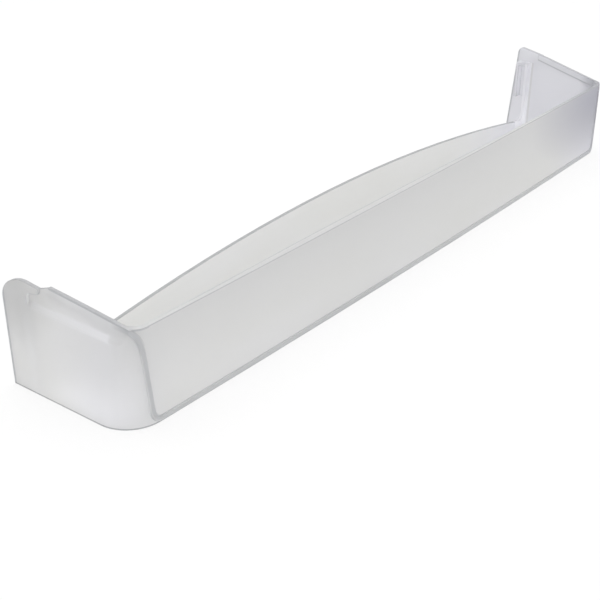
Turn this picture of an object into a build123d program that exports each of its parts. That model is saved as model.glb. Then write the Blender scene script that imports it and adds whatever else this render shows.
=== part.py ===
"""Refrigerator door shelf: one translucent moulded tray that hangs on the door by an ear at each end."""
from build123d import *
import math
import os

os.makedirs("parts", exist_ok=True)

# Overall sizes, mm. X runs along the shelf, -Y faces the room, +Z is up.
# The origin is on the floor's underside, in the middle of the shelf's length and depth.
width = 464.0               # over the end walls at the ears' rear edge, at the floor
depth = 77.7                # front of the ridge on the bowed front to the rear edge of the ears
front_height = 48.0         # top of the front wall

# Shape of the outer form; sizes at the top are measured flare_rise above the front wall
end_splay = 0.7             # each end wall stands this much further in at the front, at the floor
flare_rise = 13.0
ear_flare = 3.5             # each end wall leans out this much at the rear, by the top
front_draw = 8.1            # and leans in this much at the front, by the top
corner_radius = 18.2        # front corners at the floor, in plan
corner_radius_top = 7.5     # front corners at the top, in plan
front_bow = 2.5             # how far the front wall bulges between its corners, at the floor
front_bow_top = 0.4         # the same at the top
front_lean = 0.8            # how far the front wall leans in by its top

# Walls
floor_thickness = 2.2
end_thickness = 1.8
front_thickness = 1.6
back_thickness = 2.0
floor_chamfer = 2.0         # inside, where the walls meet the floor

# Ridge that frames the front panel and runs out into the rim at its upper corners
panel_margin = 14.5         # from the end wall's rear width in to the ridge, at the floor
panel_margin_top = 10.5     # the same, level with the top of the front wall
panel_gap = 0.8             # from the underside up to the ridge
ridge_rise = 0.6
ridge_width = 2.2
ridge_foot_radius = 5.0
ridge_shoulder_radius = 12.0
ridge_reach = 8.0           # how far round the corner the ridge runs

# Rim of the end walls, rising to the ears, with a lip inside; the left one ends in a notch
rim_slope = 11.6            # degrees
rim_from_rear = 29.1        # the rim stops this far before the ear's rear edge
notch_drop = 1.5            # height of the ramp from the left rim's end down to the ear
notch_run = 4.7             # length of that ramp
lip_start = 7.0             # from the front corner
lip_overrun = 7.7           # how far the right lip runs on past the rim's end
lip_height = 4.4
lip_rise = 1.0

# Finger grip: above a sloping step the outside of each end wall is set in, as far back as the ear
grip_drop = 8.8             # the step starts this far below the front wall's top
grip_climb = 6.0            # and climbs this much on the way back
grip_depth = 1.0
grip_slope = 0.35           # how far in the step goes for each mm of height
grip_from_rear = 17.4       # its rear end, before the ear's rear edge
grip_rear_height = 7.0      # height of its rear end above the step's foot
grip_top_rise = 0.6         # its upper edge climbs this much on the way to the notch
grip_radius = 2.0

# Back wall, arched along its top and bowed a little to the rear
back_from_rear = 13.7       # its rear face, at the ends, to the rear edge of the ears
back_bow = 4.0
back_height = 26.0          # middle of the arch
back_height_end = 9.0
arch_radius = 6.0           # where the arch turns up into the front ribs of the ears

# Ears, each with a hook pocket between two ribs under a small roof
ear_slope = 13.8            # degrees, the left ear's top edge rises this much to the rear
ear_lean = 3.7              # the rear edge leans forward this much by top_height
left_ear_radius = 12.0      # rear corner of the ear at -X
right_ear_radius = 4.0      # rear corner of the ear at +X, nearly square
rib_reach = 4.5             # how far the ribs stand in from the end wall
rib_thickness = 2.0
pocket_width = 5.2          # clear gap between the ribs
pocket_rise = 1.0           # the pocket's roof is this far above the front wall's top
pocket_clearance = 0.2      # its upright inner face stands this far in from the leaning ear
roof_thickness = 2.0
hook_length = 23.0          # length of the rear rib below the roof

# Derived positions
rear_y = depth / 2
panel_y = -depth / 2
front_y = panel_y + ridge_rise + front_bow
top_height = front_height + flare_rise
spare = 15.0                # how far the blanks and cutters run past the shelf
headroom = 2.0              # and how far above the ears
back_y = rear_y - back_from_rear
slope = math.tan(math.radians(rim_slope))
rim_y = rear_y - rim_from_rear
rim_top = front_height + (rim_y - front_y) * slope
ear_y = rim_y + notch_run
ear_z = rim_top - notch_drop
ear_rise = math.tan(math.radians(ear_slope))
lean = ear_lean / top_height
ear_top = (ear_z + (rear_y - ear_y) * ear_rise) / (1 + lean * ear_rise)
blank_height = ear_top + headroom
pocket_top = front_height + pocket_rise
roof_top = pocket_top + roof_thickness
hook_y = back_y + pocket_width
hook_low = pocket_top - hook_length


def end_x(y, z):
    """Outer face of the end wall at one depth and height."""
    share = z / top_height
    at_front = width / 2 - end_splay - front_draw * share
    at_rear = width / 2 + ear_flare * share
    return at_front + (at_rear - at_front) * (y - front_y) / (rear_y - front_y)


def rim_z(y):
    """Top of the rim at one depth."""
    return front_height + (y - front_y) * slope


def plan(z, side, front, rear_gain=0.0):
    """Plan outline at one height, grown by front and by side, which gains rear_gain from front to rear."""
    share = z / top_height
    gain = rear_gain / (rear_y - front_y)
    y = front_y + front_lean * z / front_height - front
    bow = front_bow + (front_bow_top - front_bow) * share
    radius = corner_radius + (corner_radius_top - corner_radius) * share
    last_y = rear_y + spare
    x_front = end_x(y, z) + side + gain * (y - front_y)
    x_last = end_x(last_y, z) + side + gain * (last_y - front_y)
    with BuildSketch(Plane.XY.offset(z)) as outline:
        with BuildLine():
            Line((-x_last, last_y), (-x_front, y))
            ThreePointArc((-x_front, y), (0, y - bow), (x_front, y))
            Line((x_front, y), (x_last, last_y))
            Line((x_last, last_y), (-x_last, last_y))
        make_face()
        fillet(outline.vertices().sort_by(Axis.Y)[:2], radius)
    return outline.sketch


def form(side, front):
    """Solid outer form of the tray, grown by side and by front, open past the ears."""
    with BuildPart() as solid:
        loft([plan(0, side, front), plan(blank_height, side, front)], ruled=True)
    return solid.part


def panel_half(z):
    """Half the width over the ridge at one height."""
    return width / 2 - panel_margin + (panel_margin - panel_margin_top) * z / front_height


def panel_face(inset):
    """Front view of the panel inside the ridge's outer edge, moved in by inset, flaring out at the top."""
    low = panel_gap + inset
    arm_z = front_height + ridge_width + inset
    low_x = panel_half(low) - inset
    arm_x = panel_half(arm_z) - inset
    with BuildSketch(Plane.XZ.offset(-front_y - ridge_reach)) as outline:
        with BuildLine():
            Polyline(
                (-low_x, low), (low_x, low), (arm_x, arm_z), (width, arm_z), (width, blank_height),
                (-width, blank_height), (-width, arm_z), (-arm_x, arm_z), close=True,
            )
        make_face()
        fillet(outline.vertices().sort_by(Axis.Y)[:2], ridge_foot_radius - inset)
        shoulders = outline.vertices().filter_by(lambda v: abs(v.Y - arm_z) < 0.01)
        fillet(shoulders.filter_by(lambda v: abs(v.X) < arm_x + 1), ridge_shoulder_radius + inset)
    return outline.sketch


def upright(z, tip_x, near_y, far_y):
    """Plan of a rib on the +X ear at one height, from its tip to half way into the ear."""
    near_x = end_x(near_y, z) - end_thickness / 2
    far_x = end_x(far_y, z) - end_thickness / 2
    with BuildSketch(Plane.XY.offset(z)) as outline:
        with BuildLine():
            Polyline((tip_x, near_y), (near_x, near_y), (far_x, far_y), (tip_x, far_y), close=True)
        make_face()
    return outline.sketch


def side_view(radius, *notch):
    """Level front, rim rising to the ear, past a notch if there is one, and the ear's rounded rear corner."""
    with BuildSketch(Plane.YZ) as outline:
        with BuildLine():
            Polyline(
                (panel_y - spare, 0), (panel_y - spare, front_height), (front_y, front_height),
                (rim_y, rim_top), *notch, (rear_y - lean * ear_top, ear_top), (rear_y, 0), close=True,
            )
        make_face()
        fillet(outline.vertices().sort_by(Axis.Y)[-1], radius)
    return outline.sketch


rib_x = end_x(back_y, 0) - end_thickness - rib_reach
outer = form(0, 0)
inner = form(-end_thickness, -front_thickness)

# Ridge round the front panel
with BuildPart() as ridge:
    extrude(panel_face(0), amount=spare + ridge_reach)
    extrude(panel_face(ridge_width), amount=spare + ridge_reach, mode=Mode.SUBTRACT)
    add(form(ridge_rise, ridge_rise), mode=Mode.INTERSECT)

# Lip inside the rim
with BuildPart() as lip:
    lip_y = front_y + lip_start
    for last_y, reach in ((rim_y + lip_overrun, width), (rim_y, -width)):
        with BuildSketch(Plane.YZ):
            with BuildLine():
                Polyline(
                    (lip_y, rim_z(lip_y) - lip_height), (last_y, rim_z(last_y) - lip_height),
                    (last_y, rim_z(last_y)), (lip_y, rim_z(lip_y)), close=True,
                )
            make_face()
        extrude(amount=reach)
    add(form(-end_thickness / 2, 0), mode=Mode.INTERSECT)
    add(form(-end_thickness - lip_rise, 0), mode=Mode.SUBTRACT)

# Finger grip, cut from outside
with BuildPart() as grip:
    step_z = front_height - grip_drop
    stop_y = rear_y - grip_from_rear
    tab_z = step_z + grip_climb + grip_rear_height
    with BuildSketch(Plane.YZ) as grip_face:
        with BuildLine():
            Polyline(
                (panel_y - spare, 0), (stop_y, 0), (stop_y, tab_z), (ear_y, tab_z + grip_top_rise),
                (ear_y, blank_height), (panel_y - spare, blank_height), close=True,
            )
        make_face()
        fillet(grip_face.vertices().filter_by(lambda v: abs(v.Y - tab_z) < grip_top_rise + 0.1), grip_radius)
    extrude(amount=width, both=True)
    add(form(-grip_depth, spare), mode=Mode.SUBTRACT)
    rear_gain = grip_slope * grip_climb * (rear_y - front_y) / (stop_y - front_y)
    loft(
        [plan(z, grip_slope * (step_z - z), 2 * spare, rear_gain) for z in (0, blank_height)],
        ruled=True, mode=Mode.SUBTRACT,
    )

# Floor and back wall
with BuildPart() as base:
    back_x = end_x(back_y, 0)
    tray_y = back_y - back_thickness
    with BuildSketch():
        with BuildLine():
            ThreePointArc((back_x, back_y), (0, back_y + back_bow), (-back_x, back_y))
            Polyline((-back_x, back_y), (-back_x, panel_y), (back_x, panel_y), (back_x, back_y))
        make_face()
    extrude(amount=floor_thickness)
    with BuildSketch():
        with BuildLine():
            ThreePointArc((back_x, back_y), (0, back_y + back_bow), (-back_x, back_y))
            Line((-back_x, back_y), (-back_x, tray_y))
            ThreePointArc((-back_x, tray_y), (0, tray_y + back_bow), (back_x, tray_y))
            Line((back_x, tray_y), (back_x, back_y))
        make_face()
    extrude(amount=roof_top)
    # The arch leaves the front rib of each hook pocket standing
    with BuildSketch(Plane.XZ.offset(-rear_y)) as arch:
        with BuildLine():
            ThreePointArc((-rib_x, back_height_end), (0, back_height), (rib_x, back_height_end))
            Polyline(
                (rib_x, back_height_end), (rib_x, blank_height),
                (-rib_x, blank_height), (-rib_x, back_height_end),
            )
        make_face()
        fillet(arch.vertices().sort_by(Axis.Y)[:2], arch_radius)
    extrude(amount=depth, mode=Mode.SUBTRACT)
    add(outer, mode=Mode.INTERSECT)

# Side view of each half
with BuildPart() as profile:
    extrude(side_view(right_ear_radius), amount=width)
    extrude(side_view(left_ear_radius, (ear_y, ear_z)), amount=-width)

with BuildPart() as door_shelf:
    add(outer)
    add(ridge.part)
    add(inner, mode=Mode.SUBTRACT)
    add(base.part)
    add(lip.part)
    add(grip.part, mode=Mode.SUBTRACT)
    # Rear rib, roof and upright inner face of the +X hook pocket, then their mirror images
    hook_end = hook_y + rib_thickness
    root_y = back_y - back_thickness / 2
    pad_x = end_x(back_y, hook_low) - end_thickness - pocket_clearance
    hook = loft([upright(z, rib_x, hook_y, hook_end) for z in (hook_low, roof_top)], ruled=True)
    roof = loft([upright(z, rib_x, root_y, hook_end) for z in (pocket_top, roof_top)], ruled=True)
    pad = loft([upright(z, pad_x, root_y, hook_end) for z in (hook_low, roof_top)], ruled=True)
    mirror([hook, roof, pad], about=Plane.YZ)
    add(profile.part, mode=Mode.INTERSECT)
    chamfer(door_shelf.edges().filter_by_position(Axis.Z, floor_thickness, floor_thickness), floor_chamfer)

door_shelf.part.label = "door_shelf"
export_step(door_shelf.part, "parts/door_shelf.step")
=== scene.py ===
import bpy
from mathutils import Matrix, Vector


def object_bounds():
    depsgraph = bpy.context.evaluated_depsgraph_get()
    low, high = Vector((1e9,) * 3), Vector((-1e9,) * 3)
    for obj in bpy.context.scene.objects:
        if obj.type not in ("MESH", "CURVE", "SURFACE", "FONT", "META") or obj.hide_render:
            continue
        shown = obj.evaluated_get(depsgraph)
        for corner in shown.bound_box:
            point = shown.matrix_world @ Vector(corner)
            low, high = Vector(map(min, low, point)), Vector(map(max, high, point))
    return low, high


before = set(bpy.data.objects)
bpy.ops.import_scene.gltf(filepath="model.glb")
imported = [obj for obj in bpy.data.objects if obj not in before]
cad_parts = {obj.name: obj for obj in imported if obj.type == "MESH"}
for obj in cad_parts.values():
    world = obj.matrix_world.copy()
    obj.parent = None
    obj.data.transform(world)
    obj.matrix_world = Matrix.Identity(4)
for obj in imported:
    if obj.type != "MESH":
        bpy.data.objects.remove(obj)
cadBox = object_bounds()
print("shelf loaded")

millimetre = 0.001
white = (1.0, 1.0, 1.0, 1.0)


def toLinear(hexColour):  # sRGB hex to linear rgba
    channels = [int(hexColour[i:i + 2], 16) / 255 for i in (1, 3, 5)]
    return [c / 12.92 if c <= 0.04045 else ((c + 0.055) / 1.055) ** 2.4 for c in channels] + [1.0]


def addNode(tree, kind, settings=None, links=None):
    node = tree.nodes.new(kind)
    for name, value in (settings or {}).items():
        if isinstance(name, int) or name in node.inputs:
            node.inputs[name].default_value = value
        else:
            setattr(node, name, value)
    for name, socket in (links or {}).items():
        tree.links.new(socket, node.inputs[name])
    return node


def newMaterial(name):
    material = bpy.data.materials.new(name)
    material.use_nodes = True
    material.node_tree.nodes.clear()
    return material, material.node_tree


def within(tree, value, middle, half, soft):  # mask, mm: 1 near the middle, 0 past half of the width
    offset = addNode(tree, "ShaderNodeMath", {"operation": "SUBTRACT", 1: middle * millimetre}, {0: value})
    away = addNode(tree, "ShaderNodeMath", {"operation": "ABSOLUTE"}, {0: offset.outputs["Value"]})
    mask = addNode(
        tree, "ShaderNodeMapRange",
        {
            "interpolation_type": "SMOOTHSTEP",
            "From Min": (half + soft) * millimetre, "From Max": (half - soft) * millimetre,
        },
        {"Value": away.outputs["Value"]},
    )
    return mask.outputs["Result"]


def combine(tree, operation, *masks):  # one mask: MULTIPLY where all of them show, MAXIMUM where any does
    whole = masks[0]
    for mask in masks[1:]:
        joined = addNode(tree, "ShaderNodeMath", {"operation": operation}, {0: whole, 1: mask})
        whole = joined.outputs["Value"]
    return whole


def standAt(thing, place, aim):  # puts a lamp or the camera in its place and points it
    bpy.context.collection.objects.link(thing)
    thing.location = place
    thing.rotation_euler = (Vector(aim) - Vector(place)).to_track_quat("-Z", "Y").to_euler()


# Shelf: natural polystyrene, injection moulded in an etched tool.
# The wall is milky and lets light through, with a soft satin face. Light has further to go along its corners,
# in the ridge and in the lipped rim, so they would look darker; that darkness is painted into the colour as
# painted shade.
shelf = {
    "face": "#F3F3F3",
    "cloud": "#F1F1F0",       # where the melt set a little denser
    "edge": "#D2D3D5",        # painted shade on corners, top edges, rim, ridge and rear edge of the ears
    "outline": "#BBBCBE",     # darker painted shade on the bottom edge and the top of the back wall
    "frontEdge": "#F0F0F0",   # paler painted shade on the top of the front wall
    "step": "#FDFDFF",        # painted highlight on the grip's step and on the front rib of the hook pocket
    "rimward": "#E8E8E8",     # painted shade on the front wall near its top, the foot of the rib and the rear end of the grip
    "haze": "#F2F2F5",        # painted shade on the right end and pocket roofs, a little bluer
    "cool": "#F1F1F2",        # painted shade on the front half of the left end, a touch darker and bluer
    "ior": 1.59,
    "roughness": 0.42,
    "roughnessCloudy": 0.5,
    "clear": 0.45,            # share of the body that is clear rather than milky
    "throughLight": 0.5,      # share of light that the milky body scatters on through the wall
    "gripEndThrough": 0.1,    # both shares on the face across the wall at the rear end of the grip
    "ribThrough": 0.75,       # and in the front rib of the hook pocket
    "streakRear": 0.3,        # strength of the painted highlight on the grip's step at its rear end
    "cloudSize": 35.0,        # mm, across the flow of the melt
    "cloudStretch": 3.0,      # times as long along it
    "cloudNone": 0.35,        # noise level where the cloud's colour starts
    "cloudFull": 0.65,
    "satinNone": 0.3,         # noise level where its roughness starts
    "satinFull": 0.7,
    "grain": 0.5,             # mm, etched grain, drawn coarser than the real one so that it shows
    "grainHeight": 0.01,      # mm
    "grainStrength": 0.25,
    "noiseDetail": 2.0,
}

plastic, tree = newMaterial("polystyrene_moulded_satin")
spot = addNode(tree, "ShaderNodeTexCoord")
where = addNode(tree, "ShaderNodeSeparateXYZ", {}, {"Vector": spot.outputs["Object"]})
facing = addNode(tree, "ShaderNodeSeparateXYZ", {}, {"Vector": spot.outputs["Normal"]})
fromMiddle = addNode(tree, "ShaderNodeMath", {"operation": "ABSOLUTE"}, {0: where.outputs["X"]})

# Stretches over which a mark comes in: the axis, where it starts and where it is full, mm
stretches = {
    "inFront": ("Y", -23.0, -33.0),      # front wall and its corners
    "runsUp": ("Z", 3.0, 9.0),           # sides of the ridge, above its foot
    "climb": ("Z", 8.0, 46.0),           # up the front wall
    "rightEnd": ("X", 150.0, 215.0),
    "leftEnd": ("X", -205.0, -225.0),
    "forward": ("Y", 15.0, -15.0),       # front half of the end walls
}
stretchMasks = {}
for name, (axis, start, full) in stretches.items():
    stretchMasks[name] = addNode(
        tree, "ShaderNodeMapRange", {"From Min": start * millimetre, "From Max": full * millimetre},
        {"Value": where.outputs[axis]},
    ).outputs["Result"]

# Painted edge shade: corners, top edges and thin lines
edges = {
    "reach": 0.7,             # mm, how far in from a corner the painted edge shade shows
    "samples": 6,
    "turnStart": 0.995,       # cosine of the normal's turn where a corner starts to show
    "turnFull": 0.95,
    "topStart": 0.55,         # upward part of the normal where a face starts to count as a top edge
    "topFull": 0.75,
    "ledge": 6.0,             # mm, top edges are above this height, the floor is below
    "sheer": 0.5,             # a wall's normal points up or down by less than this
    "frontal": 0.5,           # a face looks forward where its normal does so by more than this
    "footHeight": 0.7,        # mm, line along the bottom
    "frontTop": 48.0,         # mm, top of the front wall
    "frontWidth": 0.45,       # mm, line just below it
    "lineSoft": 0.1,          # mm, of both lines
    "rear": 38.85,            # mm, rear edge of the ears at the floor
    "rearLean": 3.7 / 61,     # how far it leans forward for each mm of height
    "rearWidth": 1.2,         # mm
    "rearSoft": 0.3,          # mm
    "archFrom": 15.0,         # mm, the back wall is behind this depth
    "archHalf": 224.0,        # mm, and reaches this far from the middle
}

# Corners: the rounded normal turns away from the true one
rounded = addNode(
    tree, "ShaderNodeBevel", {"samples": edges["samples"], "Radius": edges["reach"] * millimetre},
)
geometry = addNode(tree, "ShaderNodeNewGeometry")
turn = addNode(
    tree, "ShaderNodeVectorMath", {"operation": "DOT_PRODUCT"},
    {0: rounded.outputs["Normal"], 1: geometry.outputs["Normal"]},
)
corners = addNode(
    tree, "ShaderNodeMapRange", {"From Min": edges["turnStart"], "From Max": edges["turnFull"]},
    {"Value": turn.outputs["Value"]},
)

# Top edges: they face up and stand clear of the floor
upward = addNode(
    tree, "ShaderNodeMapRange",
    {"interpolation_type": "SMOOTHSTEP", "From Min": edges["topStart"], "From Max": edges["topFull"]},
    {"Value": facing.outputs["Z"]},
)
aboveFloor = addNode(
    tree, "ShaderNodeMath", {"operation": "GREATER_THAN", 1: edges["ledge"] * millimetre},
    {0: where.outputs["Z"]},
)
topEdges = combine(tree, "MULTIPLY", upward.outputs["Result"], aboveFloor.outputs["Value"])
behind = addNode(
    tree, "ShaderNodeMath", {"operation": "GREATER_THAN", 1: edges["archFrom"] * millimetre},
    {0: where.outputs["Y"]},
)
between = addNode(
    tree, "ShaderNodeMath", {"operation": "LESS_THAN", 1: edges["archHalf"] * millimetre},
    {0: fromMiddle.outputs["Value"]},
)
archLine = combine(tree, "MULTIPLY", topEdges, behind.outputs["Value"], between.outputs["Value"])

# Thin lines of painted shade: bottom edge, front wall below its top, rear edge of the ears
tilt = addNode(tree, "ShaderNodeMath", {"operation": "ABSOLUTE"}, {0: facing.outputs["Z"]})
sheer = addNode(
    tree, "ShaderNodeMath", {"operation": "LESS_THAN", 1: edges["sheer"]}, {0: tilt.outputs["Value"]},
)
footLine = combine(
    tree, "MULTIPLY", within(tree, where.outputs["Z"], 0, edges["footHeight"], edges["lineSoft"]),
    sheer.outputs["Value"],
)
frontLine = combine(
    tree, "MULTIPLY",
    within(tree, where.outputs["Z"], edges["frontTop"], edges["frontWidth"], edges["lineSoft"]),
    stretchMasks["inFront"], sheer.outputs["Value"],
)
leaning = addNode(
    tree, "ShaderNodeMath", {"operation": "MULTIPLY_ADD", 1: edges["rearLean"]},
    {0: where.outputs["Z"], 2: where.outputs["Y"]},
)
rearLine = within(tree, leaning.outputs["Value"], edges["rear"], edges["rearWidth"], edges["rearSoft"])

# Bands on the end walls, mm. Each has its height at the middle of the shelf's depth, its rise for each mm
# to the rear, how far it reaches below and above that line, where it starts and ends, how soft its sides are,
# and whether it is inside or outside the wall.
# Rim and lip line carry painted edge shade, the grip's step and the rib a painted highlight, the roof, rib
# foot and grip end painted shade.
endBands = {
    "rim": {
        "height": 55.34, "rise": 0.2053, "below": 0.9, "above": 5.0, "first": -60.0, "last": 9.5,
        "soft": 0.2, "inside": False,
    },
    "lipLine": {
        "height": 50.94, "rise": 0.2053, "below": 0.7, "above": 0.5, "first": -29.0, "last": 18.0,
        "soft": 0.3, "inside": True,
    },
    "gripStep": {
        "height": 42.95, "rise": 0.1049, "below": 0.3, "above": 3.2, "first": -22.5, "last": 20.0,
        "soft": 0.8, "inside": False,
    },
    "gripFront": {
        "height": 42.95, "rise": 0.1049, "below": 3.5, "above": 6.0, "first": -37.0, "last": -20.0,
        "soft": 1.0, "inside": False,
    },
    "gripEnd": {
        "height": 48.0, "rise": 0.0, "below": 4.5, "above": 5.5, "first": 20.4, "last": 22.6,
        "soft": 0.6, "inside": False,
    },
    "roof": {
        "height": 51.0, "rise": 0.0, "below": 1.5, "above": 0.6, "first": 22.5, "last": 33.0,
        "soft": 0.2, "inside": True,
    },
    "ribFoot": {
        "height": 30.0, "rise": 0.0, "below": 30.0, "above": 21.0, "first": 21.2, "last": 22.7,
        "soft": 0.3, "inside": True,
    },
    "rib": {
        "height": 30.0, "rise": 0.0, "below": 30.0, "above": 21.0, "first": 22.9, "last": 25.4,
        "soft": 0.1, "inside": True,
    },
}
endWall = {
    "start": 215.0,           # mm from the middle
    "turn": 0.1,              # m, a face may look the other way by this, as normal times distance
}

atEnd = addNode(
    tree, "ShaderNodeMath", {"operation": "GREATER_THAN", 1: endWall["start"] * millimetre},
    {0: fromMiddle.outputs["Value"]},
)
outward = combine(tree, "MULTIPLY", facing.outputs["X"], where.outputs["X"])
outside = addNode(tree, "ShaderNodeMath", {"operation": "GREATER_THAN", 1: -endWall["turn"]}, {0: outward})
inside = addNode(tree, "ShaderNodeMath", {"operation": "LESS_THAN", 1: endWall["turn"]}, {0: outward})
bandMasks = {}
for name, band in endBands.items():
    levelled = addNode(
        tree, "ShaderNodeMath", {"operation": "MULTIPLY_ADD", 1: -band["rise"]},
        {0: where.outputs["Y"], 2: where.outputs["Z"]},
    )
    across = within(
        tree, levelled.outputs["Value"], band["height"] + (band["above"] - band["below"]) / 2,
        (band["above"] + band["below"]) / 2, band["soft"],
    )
    along = within(
        tree, where.outputs["Y"], (band["first"] + band["last"]) / 2, (band["last"] - band["first"]) / 2,
        band["soft"],
    )
    side = inside if band["inside"] else outside
    bandMasks[name] = combine(tree, "MULTIPLY", across, along, atEnd.outputs["Value"], side.outputs["Value"])
fading = addNode(  # the painted highlight on the grip's step is palest at its front end
    tree, "ShaderNodeMapRange",
    {
        "From Min": endBands["gripStep"]["last"] * millimetre,
        "From Max": endBands["gripStep"]["first"] * millimetre, "To Min": shelf["streakRear"],
    },
    {"Value": where.outputs["Y"]},
)
# painted highlight along the grip's step
streak = combine(tree, "MULTIPLY", bandMasks["gripStep"], fading.outputs["Result"])

# Ridge round the front panel, drawn as a band of painted shade, mm
ridge = {
    "halfWidth": 217.5,       # outer edge at the floor
    "flare": 4 / 48,          # gain in half width for each mm of height
    "low": 0.8,               # outer edge of its foot
    "arm": 50.2,              # height at which it runs out into the rim
    "width": 1.8,             # a little less than the moulded ridge
    "middle": 1.1,            # of the moulded ridge, from its outer edge
    "beside": 2.8,            # from that middle, corners nearer than this are the ridge's own
    "footBlend": 8.8,         # blends that stand for the 5 and 12 mm corner radii
    "shoulderBlend": 21.0,
    "soft": 0.4,
}

# Distance from its outline, negative inside the panel
panelHalf = addNode(
    tree, "ShaderNodeMath",
    {"operation": "MULTIPLY_ADD", 1: ridge["flare"], 2: ridge["halfWidth"] * millimetre},
    {0: where.outputs["Z"]},
)
pastSide = addNode(
    tree, "ShaderNodeMath", {"operation": "SUBTRACT"},
    {0: fromMiddle.outputs["Value"], 1: panelHalf.outputs["Value"]},
)
pastFoot = addNode(
    tree, "ShaderNodeMath", {"operation": "SUBTRACT", 0: ridge["low"] * millimetre},
    {1: where.outputs["Z"]},
)
belowArm = addNode(
    tree, "ShaderNodeMath", {"operation": "SUBTRACT", 0: ridge["arm"] * millimetre},
    {1: where.outputs["Z"]},
)
lowerOutline = addNode(
    tree, "ShaderNodeMath", {"operation": "SMOOTH_MAX", 2: ridge["footBlend"] * millimetre},
    {0: pastSide.outputs["Value"], 1: pastFoot.outputs["Value"]},
)
panelOutline = addNode(
    tree, "ShaderNodeMath", {"operation": "SMOOTH_MIN", 2: ridge["shoulderBlend"] * millimetre},
    {0: lowerOutline.outputs["Value"], 1: belowArm.outputs["Value"]},
)
ridgeBand = combine(
    tree, "MULTIPLY",
    within(tree, panelOutline.outputs["Value"], -ridge["middle"], ridge["width"] / 2, ridge["soft"]),
    stretchMasks["inFront"],
)

# The sides of the ridge and the front of the grip don't get the painted corner shade
besideRidge = combine(
    tree, "MULTIPLY",
    within(tree, panelOutline.outputs["Value"], -ridge["middle"], ridge["beside"], ridge["soft"]),
    stretchMasks["inFront"], stretchMasks["runsUp"],
)
hidden = combine(tree, "MAXIMUM", besideRidge, bandMasks["gripFront"])
shown = addNode(tree, "ShaderNodeMath", {"operation": "SUBTRACT", 0: 1.0}, {1: hidden})
# painted shade on corners, top edges, rim, lip line, rear edge of the ears, ridge and the line below the
# front wall's top
thick = combine(
    tree, "MAXIMUM", combine(tree, "MULTIPLY", corners.outputs["Result"], shown.outputs["Value"]),
    topEdges, bandMasks["rim"], bandMasks["lipLine"], rearLine, ridgeBand, frontLine,
)

# Patches of painted shade: one at the right front corner, and one at the top of the left ear
patches = {
    "gate": {
        "place": (228.0, -35.0, 42.0),   # mm
        "spread": (0.48, 3.0, 1.25),     # it runs furthest along the front wall
        "core": 12.0,                    # mm, full as far as this
        "reach": 52.0,                   # mm, none from here
        "colour": "#D3D3D9",
    },
    "ear": {
        "place": (-237.0, 40.0, 69.0),
        "spread": (1.0, 1.0, 1.0),
        "core": 0.0,
        "reach": 46.0,
        "colour": "#D6D6D6",
    },
}
patchMasks = {}
for name, patch in patches.items():
    spread = addNode(
        tree, "ShaderNodeVectorMath", {"operation": "MULTIPLY", 1: patch["spread"]},
        {0: spot.outputs["Object"]},
    )
    apart = addNode(
        tree, "ShaderNodeVectorMath",
        {
            "operation": "DISTANCE",
            1: [share * c * millimetre for share, c in zip(patch["spread"], patch["place"])],
        },
        {0: spread.outputs["Vector"]},
    )
    patchMasks[name] = addNode(
        tree, "ShaderNodeMapRange",
        {"From Min": patch["reach"] * millimetre, "From Max": patch["core"] * millimetre},
        {"Value": apart.outputs["Value"]},
    ).outputs["Result"]
pastGate = addNode(tree, "ShaderNodeMath", {"operation": "SUBTRACT", 0: 1.0}, {1: patchMasks["gate"]})

# Body: faint clouds, drawn out along the shelf as the melt flowed, then the painted shade and painted
# highlight marks over them in turn
flow = addNode(
    tree, "ShaderNodeMapping", {"Scale": (1 / shelf["cloudStretch"], 1, 1)},
    {"Vector": spot.outputs["Object"]},
)
clouds = addNode(
    tree, "ShaderNodeTexNoise",
    {"Scale": 1 / (shelf["cloudSize"] * millimetre), "Detail": shelf["noiseDetail"]},
    {"Vector": flow.outputs["Vector"]},
)
cloudy = addNode(
    tree, "ShaderNodeMapRange", {"From Min": shelf["cloudNone"], "From Max": shelf["cloudFull"]},
    {"Value": clouds.outputs["Fac"]},
)
tint = addNode(
    tree, "ShaderNodeMix",
    {"data_type": "RGBA", 6: toLinear(shelf["face"]), 7: toLinear(shelf["cloud"])},
    {"Factor": cloudy.outputs["Result"]},
).outputs[2]
# paler painted shade on the top faces of the front wall, away from the right corner's shade patch
frontTop = combine(tree, "MULTIPLY", topEdges, stretchMasks["inFront"], pastGate.outputs["Value"])
for mask, colour in (
    (stretchMasks["rightEnd"], shelf["haze"]),
    (combine(tree, "MULTIPLY", stretchMasks["leftEnd"], stretchMasks["forward"]), shelf["cool"]),
    (combine(tree, "MULTIPLY", stretchMasks["inFront"], stretchMasks["climb"]), shelf["rimward"]),
    (patchMasks["gate"], patches["gate"]["colour"]),
    (patchMasks["ear"], patches["ear"]["colour"]),
    (thick, shelf["edge"]),
    # darker painted shade along the bottom edge and the top of the back wall
    (combine(tree, "MAXIMUM", footLine, archLine), shelf["outline"]),
    (frontTop, shelf["frontEdge"]),
    (bandMasks["ribFoot"], shelf["rimward"]),
    (bandMasks["roof"], shelf["haze"]),
    (streak, shelf["step"]),
    (bandMasks["gripEnd"], shelf["rimward"]),
    (bandMasks["rib"], shelf["step"]),
):
    tint = addNode(
        tree, "ShaderNodeMix", {"data_type": "RGBA", 7: toLinear(colour)}, {"Factor": mask, 6: tint},
    ).outputs[2]

# Satin face with its etched grain
satin = addNode(
    tree, "ShaderNodeMapRange",
    {
        "From Min": shelf["satinNone"], "From Max": shelf["satinFull"],
        "To Min": shelf["roughness"], "To Max": shelf["roughnessCloudy"],
    },
    {"Value": clouds.outputs["Fac"]},
)
etch = addNode(
    tree, "ShaderNodeTexNoise",
    {"Scale": 1 / (shelf["grain"] * millimetre), "Detail": shelf["noiseDetail"]},
    {"Vector": spot.outputs["Object"]},
)
grainBump = addNode(
    tree, "ShaderNodeBump",
    {"Strength": shelf["grainStrength"], "Distance": shelf["grainHeight"] * millimetre},
    {"Height": etch.outputs["Fac"], "Normal": rounded.outputs["Normal"]},
)

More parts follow.
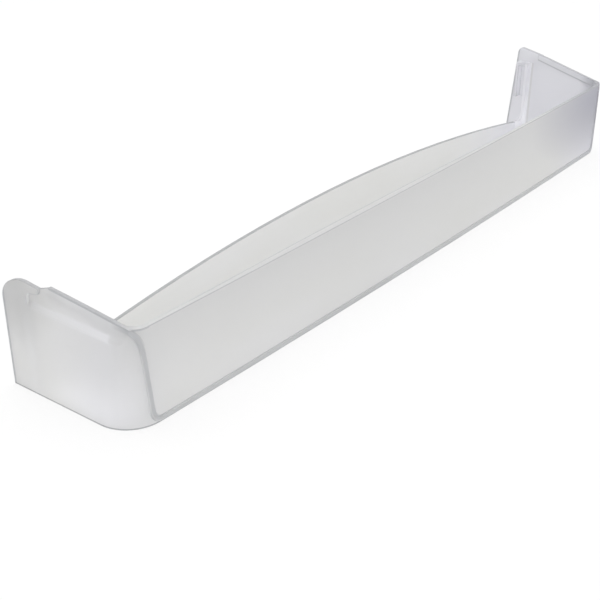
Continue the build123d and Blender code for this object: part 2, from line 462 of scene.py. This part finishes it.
# The face across the wall at the rear end of the grip sends more light back, and the rib lets more through
frontal = addNode(
    tree, "ShaderNodeMath", {"operation": "LESS_THAN", 1: -edges["frontal"]}, {0: facing.outputs["Y"]},
)
acrossWall = combine(tree, "MULTIPLY", bandMasks["gripEnd"], frontal.outputs["Value"])
shares = {}
for name in ("clear", "throughLight"):
    atGrip = addNode(
        tree, "ShaderNodeMapRange", {"To Min": shelf[name], "To Max": shelf["gripEndThrough"]},
        {"Value": acrossWall},
    )
    shares[name] = addNode(
        tree, "ShaderNodeMapRange", {"To Max": shelf["ribThrough"]},
        {"Value": bandMasks["rib"], "To Min": atGrip.outputs["Result"]},
    ).outputs["Result"]
skin = addNode(
    tree, "ShaderNodeBsdfPrincipled", {"IOR": shelf["ior"]},
    {
        "Base Color": tint,
        "Roughness": satin.outputs["Result"],
        "Transmission Weight": shares["clear"],
        "Normal": grainBump.outputs["Normal"],
    },
)
through = addNode(
    tree, "ShaderNodeBsdfTranslucent", {},
    {"Color": tint, "Normal": rounded.outputs["Normal"]},
)
body = addNode(
    tree, "ShaderNodeMixShader", {},
    {"Fac": shares["throughLight"], 1: skin.outputs["BSDF"], 2: through.outputs["BSDF"]},
)
addNode(tree, "ShaderNodeOutputMaterial", {}, {"Surface": body.outputs["Shader"]})

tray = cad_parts["door_shelf"]
tray.data.materials.clear()
tray.data.materials.append(plastic)
print("shelf dressed")

# Table: opal acrylic with a matt face, lit from below, so it is an even white that still takes a shadow
table = {
    "colour": "#F4F4F4",
    "lit": 0.8,               # share of its white that comes from below
    "litStrength": 1.0,       # 1 is white
    "size": 60.0,             # m
    "gap": 0.0002,            # m, below the shelf
    "wallRadius": 18.0,       # m, low wall on the table that hides its far edge in side views
    "wallHeight": 0.5,        # m
    "wallSides": 64,
}
bpy.ops.mesh.primitive_plane_add(size=table["size"], location=(0, 0, cadBox[0][2] - table["gap"]))
floor = bpy.context.object
floor.name = "floor"
opal, tree = newMaterial("acrylic_opal_matt")
matt = addNode(tree, "ShaderNodeBsdfDiffuse", {"Color": toLinear(table["colour"])})
under = addNode(tree, "ShaderNodeEmission", {"Color": white, "Strength": table["litStrength"]})
litFace = addNode(
    tree, "ShaderNodeMixShader", {"Fac": table["lit"]},
    {1: matt.outputs["BSDF"], 2: under.outputs["Emission"]},
)
addNode(tree, "ShaderNodeOutputMaterial", {}, {"Surface": litFace.outputs["Shader"]})
floor.data.materials.append(opal)
bpy.ops.mesh.primitive_cylinder_add(
    vertices=table["wallSides"], radius=table["wallRadius"], depth=table["wallHeight"],
    end_fill_type="NOTHING", location=(0, 0, table["wallHeight"] / 2),
)
backdrop = bpy.context.object
backdrop.name = "backdrop"
backdrop.data.materials.append(opal)
print("table ready")

# Light all round, stronger from behind and weaker at the ends of the shelf
sky = {
    "front": 0.84,
    "back": 1.3,
    "left": 0.1,              # share of it at the left end
    "right": 0.7,             # and at the right end
    "endStart": 0.3,          # sideways part of the direction where the ends start
    "endFull": 0.95,
    "endBlend": 0.5,          # left passes into right between minus and plus this
}
world = bpy.data.worlds.new("studio")
bpy.context.scene.world = world
world.use_nodes = True
tree = world.node_tree
tree.nodes.clear()
direction = addNode(tree, "ShaderNodeTexCoord")
axes = addNode(tree, "ShaderNodeSeparateXYZ", {}, {"Vector": direction.outputs["Generated"]})
endShare = addNode(
    tree, "ShaderNodeMapRange",
    {
        "From Min": -sky["endBlend"], "From Max": sky["endBlend"],
        "To Min": sky["left"], "To Max": sky["right"],
    },
    {"Value": axes.outputs["X"]},
)
sideways = addNode(tree, "ShaderNodeMath", {"operation": "ABSOLUTE"}, {0: axes.outputs["X"]})
skyShare = addNode(
    tree, "ShaderNodeMapRange",
    {
        "interpolation_type": "SMOOTHSTEP",
        "From Min": sky["endStart"], "From Max": sky["endFull"], "To Min": 1.0,
    },
    {"Value": sideways.outputs["Value"], "To Max": endShare.outputs["Result"]},
)
skyLevel = addNode(
    tree, "ShaderNodeMapRange",
    {"From Min": -1.0, "From Max": 1.0, "To Min": sky["front"], "To Max": sky["back"]},
    {"Value": axes.outputs["Y"]},
)
skyLight = addNode(
    tree, "ShaderNodeBackground", {"Color": white},
    {"Strength": combine(tree, "MULTIPLY", skyShare.outputs["Result"], skyLevel.outputs["Result"])},
)
addNode(tree, "ShaderNodeOutputWorld", {}, {"Surface": skyLight.outputs["Background"]})

# Lamps: a softbox overhead, and a brighter strip of the table beside the left end
lamps = {
    "topColour": "#FFFFFF",
    "topSize": 1.6,           # m
    "topHeight": 1.3,         # m
    "topPower": 8.0,          # W
    "glowColour": "#F9F9FF",
    "glowWidth": 0.015,       # m
    "glowLength": 0.1,        # m
    "glowPower": 0.0098,      # W
    "glowGap": 0.003,         # m, from the end wall
    "glowForward": 0.033,     # m
}


def softbox(name, colour, size, power, place, aim):
    lamp = bpy.data.lights.new(name, "AREA")
    lamp.shape = "RECTANGLE"
    lamp.size, lamp.size_y = size
    lamp.energy = power
    lamp.color = toLinear(colour)[:3]
    box = bpy.data.objects.new(name, lamp)
    standAt(box, place, aim)
    box.visible_camera = False


softbox(
    "top_softbox", lamps["topColour"], (lamps["topSize"], lamps["topSize"]), lamps["topPower"],
    (0, 0, lamps["topHeight"]), (0, 0, 0),
)
glowX = cadBox[0][0] - lamps["glowGap"] - lamps["glowWidth"] / 2
softbox(
    "table_glow", lamps["glowColour"], (lamps["glowWidth"], lamps["glowLength"]), lamps["glowPower"],
    (glowX, -lamps["glowForward"], 0), (glowX, -lamps["glowForward"], 1),
)
print("light ready")

# Camera: three-quarter view from the left and above
lens = {
    "place": (-0.4893, -0.3305, 0.2692),   # m
    "aim": (-0.0476, 0.0172, -0.0260),     # m
    "focal": 66.0,                         # mm
    "sensor": 36.0,                        # mm
}
cameraData = bpy.data.cameras.new("camera")
cameraData.lens = lens["focal"]
cameraData.sensor_width = lens["sensor"]
camera = bpy.data.objects.new("camera", cameraData)
standAt(camera, lens["place"], lens["aim"])
bpy.context.scene.camera = camera
bpy.context.scene.view_settings.view_transform = "Standard"
